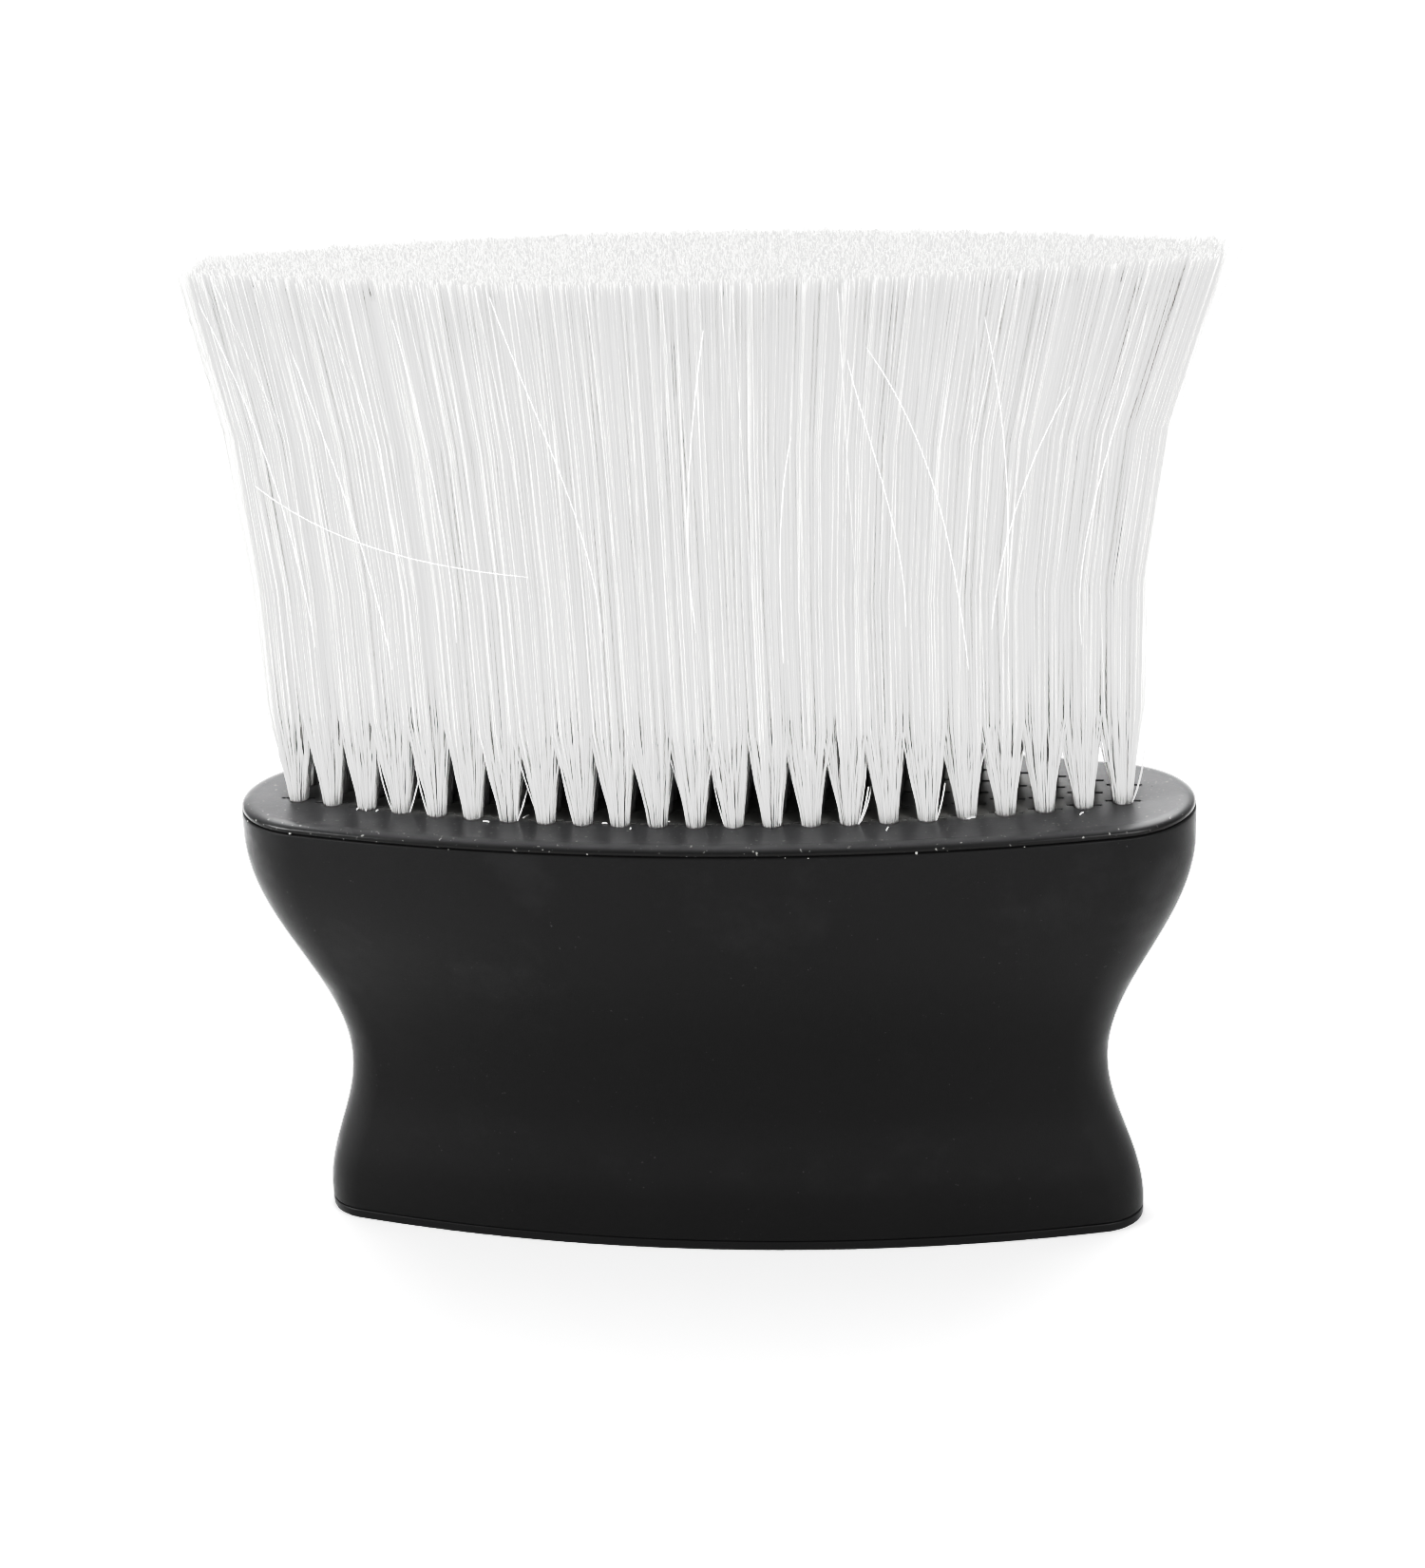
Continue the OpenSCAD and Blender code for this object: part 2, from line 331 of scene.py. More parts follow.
def plate_finish(name, colour):
    """Dull dark grey plastic with faint wipe marks, haze and dust, painted shade that darkens it down its
    shoulder to nearly black, and painted bounce light from the white tufts that makes it palest in the
    oval between them."""
    made = Finish(name)
    haze = made.noise(150, 4, 0.6)
    wipes = made.noise(240, 3, 0.6, made.stretched(0.18, 1.0, 1.0))
    dust = made.band(made.noise(2100, 1, 0.3), 0.70, 0.78)
    height = made.along(2)
    # Painted shade: nearly black at the seam, rising to the full colour at the top of the shoulder.
    painted_shoulder_light = made.band(height, SEAM_Z + 0.5 * MM, PLATE_Z)
    body = made.blend(haze, shade(colour, 0.78), shade(colour, 1.3))
    shaded = made.blend(painted_shoulder_light, shade(colour, 0.05), body)
    # Painted bounce light: paler in the oval of the tufted field, as if lit by light thrown down from the
    # white tufts.
    across = made.along(0) * (1 / (FIELD_HALF_W + 2 * MM))
    deep = made.along(1) * (1 / (FIELD_HALF_D + 0.5 * MM))
    tuft_bounce_mask = made.band(across * across + deep * deep, 0.95, 0.6)
    tuft_bounce_lit = made.blend(tuft_bounce_mask * (0.55 + 0.35 * haze), shaded, PALE_DUST_AND_BOUNCE_LIGHT)
    dusty = made.blend(dust * 0.45, tuft_bounce_lit, PALE_DUST_AND_BOUNCE_LIGHT)
    peel = made.noise(700, 2, 0.5)
    grain = made.noise(4800, 2, 0.5)
    made.principled({
        "Base Color": dusty,
        "Roughness": 0.31 + 0.12 * (haze - 0.5) + 0.10 * (wipes - 0.5) + 0.2 * dust,
        "Normal": made.bump(grain, 0.012 * MM, 0.5, made.bump(peel, 0.03 * MM, 0.4)),
        "Specular IOR Level": 0.25,
    })
    return made.material


def nylon_finish(name, colour, clear):
    """White nylon filament: each filament has its own tone, and milkier and clearer stretches, and painted
    shade darkens it a little towards the roots. Clear is the share of the light that goes through it."""
    made = Finish(name)
    tone = made.node("Attribute", {"attribute_name": "tone"}, output="Fac")
    streak = made.noise(500, 2, 0.5, made.stretched(1.0, 1.0, 0.05))
    mixed = 0.75 * tone + 0.25 * streak
    height = made.along(2)
    # Painted shade: the filaments are darkened towards their roots near the plate.
    root_shade = made.band(height, PLATE_Z + 16 * MM, PLATE_Z + 2 * MM)
    unshaded_nylon = made.blend(mixed, shade(colour, 0.96), shade(colour, 1.04))
    root_shaded_nylon = made.blend(0.2 * root_shade, unshaded_nylon, shade(colour, 0.3))
    made.principled({
        "Base Color": root_shaded_nylon,
        "Roughness": 0.42 + 0.16 * streak,
        "Specular IOR Level": 0.18,
    })
    through = made.node("BsdfTranslucent", None, {"Color": root_shaded_nylon})
    output = made.tree.nodes["Material Output"]
    made.plug(output.inputs["Surface"], made.node("MixShader", None, {
        0: clear, 1: Signal(made, made.shader.outputs[0]), 2: through}))
    return made.material


def glue_finish(name, colour):
    """Cured adhesive and flash: dull, uneven and slightly lighter than the plastic."""
    made = Finish(name)
    lumps = made.noise(900, 3, 0.6)
    made.principled({
        "Base Color": made.blend(lumps, shade(colour, 0.6), shade(colour, 1.7)),
        "Roughness": 0.38 + 0.3 * lumps,
        "Normal": made.bump(lumps, 0.04 * MM, 0.6),
        "Specular IOR Level": 0.35,
    })
    return made.material


def drawn_wire(name, colour):
    """Flat drawn steel wire with lengthwise draw lines and dull cut ends."""
    made = Finish(name)
    lines = made.noise(900, 3, 0.7, made.stretched(0.02, 1.0, 4.0))
    stain = made.noise(300, 3, 0.5)
    made.principled({
        "Base Color": made.blend(stain, shade(colour, 0.7), shade(colour, 1.15)),
        "Metallic": 0.9 + 0.1 * stain,
        "Roughness": 0.3 + 0.25 * lines,
        "Normal": made.bump(lines, 0.01 * MM, 0.6),
    })
    return made.material


def floor_finish(name, colour):
    """Plain pale sweep, faintly uneven in sheen."""
    made = Finish(name)
    uneven = made.noise(3, 2, 0.5)
    made.principled({
        "Base Color": made.blend(uneven, shade(colour, 0.995), shade(colour, 1.005)),
        "Roughness": 0.8 + 0.05 * uneven,
        "Specular IOR Level": 0.1,
    })
    return made.material


# ---------------------------------------- surfaces


def new_object(name, mesh, material):
    """Links a finished mesh at the origin with its material."""
    made = bpy.data.objects.new(name, mesh)
    bpy.context.scene.collection.objects.link(made)
    mesh.materials.append(material)
    return made


def mesh_from(name, points, faces, sharp=None):
    """A mesh from points and faces, smooth except across edges sharper than the given angle."""
    mesh = bpy.data.meshes.new(name)
    mesh.from_pydata(points, [], faces)
    mesh.polygons.foreach_set("use_smooth", np.ones(len(mesh.polygons), bool))
    if sharp:
        mesh.set_sharp_from_angle(angle=math.radians(sharp))
    mesh.update()
    return mesh


def lens_outline(a, b, r, arc_steps, end_steps):
    """Outline of half length a, half depth b and end radius r: two side arcs of radius
    ((a-r)^2 + b^2 - r^2) / 2(b-r) run tangent into two end circles of radius r. Each point is an arc's
    centre plus its radius times (cos, sin) of the turning angle."""
    a, b, r = (np.asarray(v, float)[..., None] for v in (a, b, r))
    centre = a - r
    side = (centre**2 + b**2 - r**2) / (2 * (b - r))
    drop = side - b
    turn = np.arctan2(drop, centre)
    end = np.arange(end_steps) / end_steps
    arc = np.arange(arc_steps) / arc_steps
    angles = [
        turn * (2 * end - 1),
        turn + (math.pi - 2 * turn) * arc,
        math.pi + turn * (2 * end - 1),
        math.pi + turn + (math.pi - 2 * turn) * arc,
    ]
    centres = [(centre, 0), (0, -drop), (-centre, 0), (0, drop)]
    reaches = [r, side, r, side]
    parts = [
        np.stack([x + reach * np.cos(t), y + reach * np.sin(t)], -1)
        for t, (x, y), reach in zip(angles, centres, reaches)
    ]
    return np.concatenate(parts, -2)


ARC_STEPS = 112
END_STEPS = 44


def ease(z, low, high):
    """Half a cosine wave from 0 at low to 1 at high."""
    return (1 - np.cos(np.pi * np.clip((z - low) / (high - low), 0, 1))) / 2


def rim_outline(sizes):
    """Half length, half depth and end radius of the handle's rim."""
    return np.array([SHELL_HIGH.x, SHELL_HIGH.y, sizes.rim_end_radius])


def base_outline(sizes):
    """Half length, half depth and end radius of the handle's foot."""
    return np.array([sizes.base_width / 2, sizes.base_depth / 2, sizes.base_end_radius])


def handle_outline(sizes, z):
    """Half length, half depth and end radius of the handle at height z: base to waist to rim, eased."""
    base, rim = base_outline(sizes), rim_outline(sizes)
    waist = np.array([sizes.waist_width / 2, sizes.waist_depth / 2, sizes.base_end_radius])
    z = np.atleast_1d(z)[:, None]
    foot_end = 2 * MM
    lower = base + (waist - base) * ease(z, foot_end, sizes.waist_height)
    upper = waist + (rim - waist) * ease(z, sizes.waist_height, sizes.flare_end)
    return np.where(z < sizes.waist_height, lower, upper)


def rings_from(outlines, heights, arc_steps=ARC_STEPS, end_steps=END_STEPS):
    """Rings of points, one for each outline (a, b, r) at its height."""
    outlines = np.asarray(outlines, float)
    flat = lens_outline(*outlines.T, arc_steps, end_steps)
    z = np.broadcast_to(np.asarray(heights, float)[:, None, None], flat.shape[:2] + (1,))
    return np.concatenate([flat, z], -1)


def ring_solid(name, rings, tube=False, sharp=35):
    """Closed solid through rings of points: quads between rings, and either flat ends or, for a tube,
    a last band back to the first ring."""
    levels, around = rings.shape[:2]
    bands = levels if tube else levels - 1
    k = np.arange(bands)[:, None]
    i = np.arange(around)[None, :]
    here, above = k * around, (k + 1) % levels * around
    nxt = (i + 1) % around
    quads = np.stack([here + i, here + nxt, above + nxt, above + i], -1).reshape(-1, 4)
    faces = quads.tolist()
    if not tube:
        faces.append(list(range(around))[::-1])
        faces.append(list(range((levels - 1) * around, levels * around)))
    return mesh_from(name, rings.reshape(-1, 3), faces, sharp)


def unevenness(points, amount, wave, seed):
    """Smooth bumps mostly between -amount and amount: twice the mean of eight sine waves of about the
    given length that run in random directions."""
    rng = np.random.default_rng(seed)
    waves = 8
    direction = rng.normal(size=(waves, 3))
    direction /= np.linalg.norm(direction, axis=1)[:, None]
    number = 2 * np.pi / (wave * rng.uniform(0.7, 1.6, waves))
    phase = rng.uniform(0, 2 * np.pi, waves)
    return amount * np.mean(np.sin(points @ direction.T * number + phase), -1) * 2


def round_over(radius, steps, start, end):
    """Inset and height of a quarter round between two angles, as shares of its radius."""
    t = np.linspace(start, end, steps)
    return radius * (1 - np.cos(t)), radius * np.sin(t)


# ---------------------------------------- the tufted field


def row_holes(row):
    """Hole centres of a row: the points of its anchors, sorted along X and split at every gap, are left
    and right ends in turn, and a hole is midway between the two ends of an anchor."""
    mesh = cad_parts[f"anchor_row_{row}"].data
    points = np.empty(len(mesh.vertices) * 3, np.float32)
    mesh.vertices.foreach_get("co", points)
    points = points.reshape(-1, 3)
    points = points[np.argsort(points[:, 0], kind="stable")]
    widest_join = 0.5 * MM
    cuts = np.where(np.diff(points[:, 0]) > widest_join)[0] + 1
    ends = np.array([group[:, :2].mean(0) for group in np.split(points, cuts)])
    return (ends[0::2] + ends[1::2]) / 2


HOLES = {row: row_holes(row) for row in range(1, ROWS + 1)}
ALL_HOLES = np.concatenate(list(HOLES.values()))
FRONT, BACK = HOLES[1], HOLES[ROWS]
FRONT_MIDDLE, BACK_MIDDLE = FRONT[len(FRONT) // 2], BACK[len(BACK) // 2]
PITCH = float(np.median(np.diff(FRONT[:, 0])))
FIELD_X = float((FRONT[0, 0] + FRONT[-1, 0]) / 2)
FIELD_Y = float((FRONT_MIDDLE[1] + BACK_MIDDLE[1]) / 2)
FIELD_HALF_W = float(FRONT[-1, 0] - FIELD_X)
FIELD_HALF_D = float(FIELD_Y - FRONT_MIDDLE[1])


def hole_column(x):
    """Y of each hole in the column at x, front to back."""
    return np.sort(ALL_HOLES[np.abs(ALL_HOLES[:, 0] - x) < PITCH / 4][:, 1])


def row_gaps(row):
    """For each hole of a row, the spacing of the holes in its column, front to back."""
    columns = [hole_column(x) for x in HOLES[row][:, 0]]
    return np.array([(column[-1] - column[0]) / (len(column) - 1) for column in columns])


def tubes(name, paths, radius, tone, sides=3):
    """Many thin tubes in one mesh. Each ring is the path's point plus the radius times
    cos(angle) * side + sin(angle) * front, where side and front stand square to the path. Each tube is
    turned a little against the one before it."""
    count, rings = paths.shape[:2]
    along = np.gradient(paths, axis=1)
    along /= np.linalg.norm(along, axis=-1, keepdims=True)
    side = np.cross(along, [0.0, 1.0, 0.0])
    side /= np.linalg.norm(side, axis=-1, keepdims=True)
    front = np.cross(side, along)
    last_turn = 40
    turn = np.linspace(0, last_turn, count)[:, None]
    angle = (np.linspace(0, 2 * np.pi, sides, endpoint=False) + turn)[:, None, :, None]
    ring = np.cos(angle) * side[:, :, None] + np.sin(angle) * front[:, :, None]
    points = paths[:, :, None] + radius * ring
    f = np.arange(count)[:, None, None] * rings * sides
    k = np.arange(rings - 1)[None, :, None] * sides
    s = np.arange(sides)[None, None, :]
    n = (s + 1) % sides
    above = k + sides
    quads = np.stack(np.broadcast_arrays(f + k + s, f + above + s, f + above + n, f + k + n), -1)
    quads = quads.reshape(-1, 4)
    last = (rings - 1) * sides
    tips = (np.arange(count)[:, None] * rings * sides + last + np.arange(sides)[::-1]).reshape(-1, sides)
    roots = (np.arange(count)[:, None] * rings * sides + np.arange(sides)).reshape(-1, sides)
    mesh = bpy.data.meshes.new(name)
    mesh.vertices.add(count * rings * sides)
    mesh.vertices.foreach_set("co", points.astype(np.float32).ravel())
    corners = np.concatenate([quads.ravel(), tips.ravel(), roots.ravel()])
    mesh.loops.add(len(corners))
    mesh.loops.foreach_set("vertex_index", corners.astype(np.int32))
    sizes = np.concatenate([np.full(len(quads), 4), np.full(2 * count, sides)])
    mesh.polygons.add(len(sizes))
    mesh.polygons.foreach_set("loop_start", np.concatenate([[0], np.cumsum(sizes)[:-1]]).astype(np.int32))
    mesh.polygons.foreach_set("use_smooth", np.ones(len(sizes), bool))
    mesh.update(calc_edges=True)
    shown = mesh.attributes.new("tone", "FLOAT", "POINT")
    shown.data.foreach_set("value", np.repeat(tone, rings * sides).astype(np.float32))
    return mesh


def fan_open(height, sizes):
    """How far the fan has opened: 0 up to the bend height, then the square of the rest, 1 at the top."""
    full = TRIM_Z - PLATE_Z - sizes.bend_height
    return np.clip((height - sizes.bend_height) / full, 0, None) ** 2


def flared(height, sizes):
    """How far a tuft has flared from its root to its cell: a parabola from 0 to 1."""
    return 1 - (1 - np.clip(height / sizes.flare_height, 0, 1)) ** 2


def fan_x(x, height, sizes):
    """Where the fan carries a place x of the field at a height: outwards in proportion to x as it
    opens, more so towards the right, after a slight lean inwards as the outer tufts flare."""
    across = x / FIELD_HALF_W
    lean = 0.5 * MM
    spread = (sizes.spread + sizes.spread_skew * across) * fan_open(height, sizes)
    return x * (1 + spread) - lean * across * np.abs(across) * flared(height, sizes)


def random_tones(rng, count):
    """Tones from 0 to 1, most of them near 0.6."""
    return np.clip(rng.normal(0.6, 0.25, count), 0, 1)


def fan_heart(sizes):
    """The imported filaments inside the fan, as one closed ribbed body. Its outline runs a little beyond
    the centres of the outer holes, left to right along the front and back again; each height moves it
    as the fan moves, and every point around has its own small ridge or groove all the way up."""
    columns = [hole_column(x) for x in FRONT[:, 0]]
    beyond = 1.5 * MM
    front = np.array([column[0] for column in columns]) - FIELD_Y - beyond
    back = np.array([column[-1] for column in columns]) - FIELD_Y + beyond
    known = FRONT[:, 0] - FIELD_X
    reach = FIELD_HALF_W + beyond
    side_steps, end_steps = 520, 20
    x = np.linspace(-reach, reach, side_steps)
    end = np.linspace(0, 1, end_steps + 2)[1:-1]
    lows, highs = np.interp(x, known, front), np.interp(x, known, back)
    right = np.column_stack([np.full(end_steps, reach), lows[-1] + (highs[-1] - lows[-1]) * end])
    left = np.column_stack([np.full(end_steps, -reach), highs[0] + (lows[0] - highs[0]) * end])
    outline = np.concatenate([
        np.column_stack([x, lows]), right, np.column_stack([x, highs])[::-1], left])
    rng = np.random.default_rng(12)
    ridge = 0.035 * MM
    outline[:, 1] += rng.normal(0, ridge, len(outline)) * np.where(outline[:, 1] > 0, 1, -1)
    height = np.array([12.8, 14.5, 22, 30, 38, 46, 54, 61, 65.4, 66.2]) * MM
    inset = np.array([0.9, 0.97, 1, 1, 1, 1, 1, 1, 0.995, 0.97])
    rings = [
        np.column_stack([
            fan_x(outline[:, 0] * k, h, sizes) + FIELD_X,
            outline[:, 1] * k + FIELD_Y,
            np.full(len(outline), PLATE_Z + h),
        ])
        for h, k in zip(height, inset)
    ]
    mesh = ring_solid("fan_heart", np.array(rings), sharp=180)
    tone = mesh.attributes.new("tone", "FLOAT", "POINT")
    shown = random_tones(rng, len(outline))
    tone.data.foreach_set("value", np.tile(shown, len(height)).astype(np.float32))
    return mesh


def filament_paths(holes, gaps, sizes, seed):
    """Paths of all filaments of some tufts, (tufts * count, rings, 3). A filament starts at a point of
    its root disc, moves to the like point of its tuft's cell as the tuft flares, follows the fan as it
    opens, and wanders: a little by itself, a little with its clump, and some a lot."""
    rng = np.random.default_rng(seed)
    tufts, count = len(holes), sizes.count
    shape = (tufts, count, 1)
    rise = np.array([-1.2, 2.2, 6.0, 12.5, 29.0, 48.0, 68.2]) * MM
    rho = rng.uniform(0, 1, shape) ** 0.42
    theta = rng.uniform(0, 2 * np.pi, shape)
    disc_x, disc_y = rho * np.cos(theta), rho * np.sin(theta)
    square = 1 / np.maximum(np.abs(np.cos(theta)), np.abs(np.sin(theta)))
    short_share, stray_share = 0.05, 0.035
    length = TRIM_Z - PLATE_Z + rng.normal(0, 0.14 * MM, shape)
    length -= (rng.uniform(0, 1, shape) < short_share) * rng.exponential(0.9 * MM, shape)
    height = rise * np.where(rise > sizes.bend_height, length / rise[-1], 1.0)
    share = np.clip(height / rise[-1], 0, None)
    flare = flared(height, sizes)

    x0 = holes[:, 0][:, None, None] - FIELD_X
    y0 = holes[:, 1][:, None, None] - FIELD_Y
    across = x0 / FIELD_HALF_W
    opened = fan_open(height, sizes)
    cell_x = PITCH / 2 * (0.98 + (sizes.spread + 2 * sizes.spread_skew * across) * opened)
    cell_y = gaps[:, None, None] / 2
    clumps = 9
    member = rng.integers(0, clumps, (tufts, count))
    clump = rng.normal(0, 0.2 * MM, (tufts, clumps, 2))[np.arange(tufts)[:, None], member]
    own = rng.normal(0, 0.55 * MM, (tufts, count, 2))
    far = (rng.uniform(0, 1, shape) < stray_share) * rng.normal(0, 2.3 * MM, (tufts, count, 2))
    sway = rng.normal(0, 0.16 * MM, (tufts, count, 2))
    phase = rng.uniform(0, 2 * np.pi, shape)
    wander = [
        own[..., axis, None] * flare**3 + clump[..., axis, None] * share**1.4
        + far[..., axis, None] * share**2.2
        + sway[..., axis, None] * np.sin(2 * np.pi * share + phase) * np.sqrt(share)
        for axis in (0, 1)
    ]
    root = sizes.root_radius
    middle = fan_x(x0, height, sizes) + FIELD_X
    x = middle + disc_x * (root * (1 - flare) + square * cell_x * flare) + wander[0]
    y = y0 + FIELD_Y + disc_y * (root * (1 - flare) + square * cell_y * flare) + wander[1]
    z = PLATE_Z + np.broadcast_to(height, x.shape)
    return np.stack([x, y, z], -1).reshape(-1, len(rise), 3)


def resample(points, rings):
    """A smooth path through a few points: each coordinate is the polynomial in the distance walked
    that passes through all of them."""
    points = np.asarray(points, float)
    walked = np.concatenate([[0], np.cumsum(np.linalg.norm(np.diff(points, axis=0), axis=1))])
    at = np.linspace(0, walked[-1], rings)
    order = len(points) - 1
    return np.stack([np.polyval(np.polyfit(walked / MM, c, order), at / MM) for c in points.T], -1)


def front_y(x):
    """Y of the front of the tufted field at x, half a cell before the front row."""
    half_cell = 2.2 * MM
    return np.interp(x, FRONT[:, 0], FRONT[:, 1]) - half_cell


def loose_hairs(rings=14):
    """Paths of the single filaments that have left the field. Those listed here run over its front,
    each through (x, height) in millimetres, short ones spring from the roots, and clippings lie on the
    plate."""
    listed = [
        [(22.5, 118.3), (28.5, 105.8), (32.0, 90.0), (33.2, 78.0)],
        [(-52.9, 100.3), (-45.6, 96.5), (-35.4, 93.3), (-18.9, 90.8)],
        [(-20.9, 125.0), (-17.2, 114.2), (-12.5, 99.7), (-10.2, 82.9)],
        [(20.3, 116.9), (23.0, 106.0), (25.3, 95.2), (26.0, 84.0)],
        [(13.5, 108.0), (12.2, 100.0), (11.6, 90.0), (11.4, 80.0)],
        [(-46.5, 118.0), (-42.0, 104.0), (-38.5, 90.0), (-37.0, 78.0)],
        [(45.5, 112.0), (41.0, 103.0), (38.0, 94.0), (36.0, 83.0)],
        [(54.5, 121.0), (51.0, 108.0), (47.5, 95.0), (46.5, 80.0)],
        [(-57.5, 123.0), (-52.0, 108.0), (-48.5, 94.0), (-47.0, 80.0)],
        [(-33.0, 122.0), (-30.2, 108.0), (-28.6, 95.0), (-28.4, 82.0)],
        [(4.0, 121.0), (2.0, 108.0), (1.0, 96.0), (1.2, 84.0)],
        [(36.0, 121.0), (37.8, 108.0), (38.2, 95.0), (37.4, 82.0)],
    ]
    root_hairs, clippings = 16, 14
    over = np.array([1.3, 2.0, 2.0, 1.0]) * MM
    paths = []
    for hair in listed:
        x, z = np.array(hair).T * MM
        paths.append(resample(np.column_stack([x, front_y(x) - over, z]), rings))
    rng = np.random.default_rng(41)
    for _ in range(root_hairs):
        x, y = FRONT[rng.integers(0, len(FRONT))]
        side = rng.choice([-1, 1])
        reach = rng.uniform(1.6, 2.8) * side * MM
        rise = rng.uniform(4, 12) * MM
        start = (x + side * MM, y - 0.5 * MM, PLATE_Z - 0.3 * MM)
        middle = (x + reach * 0.8, y - rng.uniform(0.6, 1.4) * MM, PLATE_Z + rise * 0.5)
        end = (x + reach, y - rng.uniform(-1.0, 1.2) * MM, PLATE_Z + rise)
        paths.append(resample([start, middle, end], rings))
    for _ in range(clippings):
        x, y = FRONT[rng.integers(0, len(FRONT))] + rng.uniform(-2.2, 2.2, 2) * MM
        turn = rng.uniform(0, 2 * np.pi)
        half = rng.uniform(0.15, 0.6) * MM * np.array([math.cos(turn), math.sin(turn)])
        z = PLATE_Z + 0.07 * MM
        y = y - 1.6 * MM
        tail = (x - half[0], y - half[1], z)
        paths.append(resample([tail, (x, y, z + 0.06 * MM), (x + half[0], y + half[1], z)], rings))
    return np.array(paths)


def beads(name, centres, radii, flat=0.6):
    """Small lumps in one mesh: centre plus radius times (sin t cos p, sin t sin p, flat cos t), over
    rings t from pole to pole and turns p, with each pole closed by a small face."""
    pole = 0.25
    t = np.linspace(pole, np.pi - pole, 6)[:, None]
    p = np.linspace(0, 2 * np.pi, 10, endpoint=False)[None, :]
    unit = np.stack(np.broadcast_arrays(
        np.sin(t) * np.cos(p), np.sin(t) * np.sin(p), -flat * np.cos(t)), -1)
    points = np.asarray(centres)[:, None, None] + np.asarray(radii)[:, None, None, None] * unit
    around, levels = p.size, t.size
    start = np.arange(len(points))[:, None, None] * around * levels
    k, i = np.arange(levels - 1)[None, :, None] * around, np.arange(around)[None, None, :]
    nxt = (i + 1) % around
    above = k + around
    quads = np.stack(np.broadcast_arrays(
        start + k + i, start + k + nxt, start + above + nxt, start + above + i), -1).reshape(-1, 4)
    low = (start[:, 0] + np.arange(around)[::-1]).tolist()
    high = (start[:, 0] + (levels - 1) * around + np.arange(around)).tolist()
    return mesh_from(name, points.reshape(-1, 3), quads.tolist() + low + high)


# ---------------------------------------- operators


class DusterOperator(bpy.types.Operator):
    """Shared ground of the operators that build a piece."""

    bl_options = {"REGISTER", "UNDO"}

    def place(self, piece, slot, *nodes):
        """Fixes a piece to the brush, in place of its CAD nodes."""
        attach(piece, "root")
        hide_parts(*nodes)


class DUSTER_OT_handle(DusterOperator):
    """Build the hollow waisted handle"""

    bl_idname = "duster.handle"
    bl_label = "Handle"

    def execute(self, context):
        settings = context.scene.duster
        sizes = settings.handle
        edge = sizes.seam_round
        inset, lift = round_over(edge, 6, math.pi / 2, 0)
        low, high = FOOT_Z + edge, SEAM_Z - edge
        side_rings, inner_rings = 102, 26
        z = np.concatenate([low - lift, np.linspace(low, high, side_rings + 2)[1:-1], (high + lift)[::-1]])
        shrink = np.concatenate([inset, np.zeros(side_rings), inset[::-1]])
        outer = handle_outline(sizes, z) - shrink[:, None]
        inner_z = np.linspace(SEAM_Z, FOOT_Z, inner_rings)
        wall = sizes.wall + 0.4 * MM * np.sin(np.linspace(0, np.pi, inner_rings))
        inner = handle_outline(sizes, inner_z) - wall[:, None]
        rings = rings_from(np.concatenate([outer, inner]), np.concatenate([z, inner_z]))
        outside = rings[: len(z)]
        # outward, as on an ellipse sixteen times as long as it is deep
        away = outside[..., :2] / [16**2, 1]
        away /= np.linalg.norm(away, axis=-1, keepdims=True)
        swell = unevenness(outside, 0.05 * MM, 34 * MM, 3)
        fade_height = 4 * MM
        fade = np.minimum(1, np.minimum(z - z[0], z[-1] - z) / fade_height)[:, None]
        outside[..., :2] += away * (swell * fade)[..., None]
        mesh = ring_solid("handle", rings, tube=True)
        piece = new_object("handle", mesh, moulded_black("handle_black", settings.colour.handle, 0.5))
        self.place(piece, "handle", "handle_shell")
        return {"FINISHED"}


class DUSTER_OT_base_cap(DusterOperator):
    """Build the cap that closes the handle's foot"""

    bl_idname = "duster.base_cap"
    bl_label = "Base cap"

    def execute(self, context):
        settings = context.scene.duster
        sizes = settings.handle
        edge = sizes.seam_round
        inset, lift = round_over(edge, 6, math.pi / 2, 0)
        top_inset, top_lift = round_over(edge * 0.7, 5, 0, math.pi / 2)
        spigot = sizes.wall + 0.1 * MM
        inside, bottom = spigot + 1.5 * MM, 2 * MM
        shrink = np.concatenate([inset, top_inset, [spigot, spigot, inside, inside]])
        z = np.concatenate([
            edge - lift, FOOT_Z - edge * 0.7 + top_lift, [FOOT_Z, CAP_TOP, CAP_TOP, bottom]])
        mesh = ring_solid("base_cap", rings_from(base_outline(sizes) - shrink[:, None], z))
        # Painted reflection: the cap is coloured 1.5 times lighter than the handle, for the pale floor
        # reflected along the bottom edge.
        finish = moulded_black("cap_black", shade(settings.colour.handle, 1.5)[:3], 0.42)
        piece = new_object("base_cap", mesh, finish)
        self.place(piece, "cap", "base_cap")
        return {"FINISHED"}


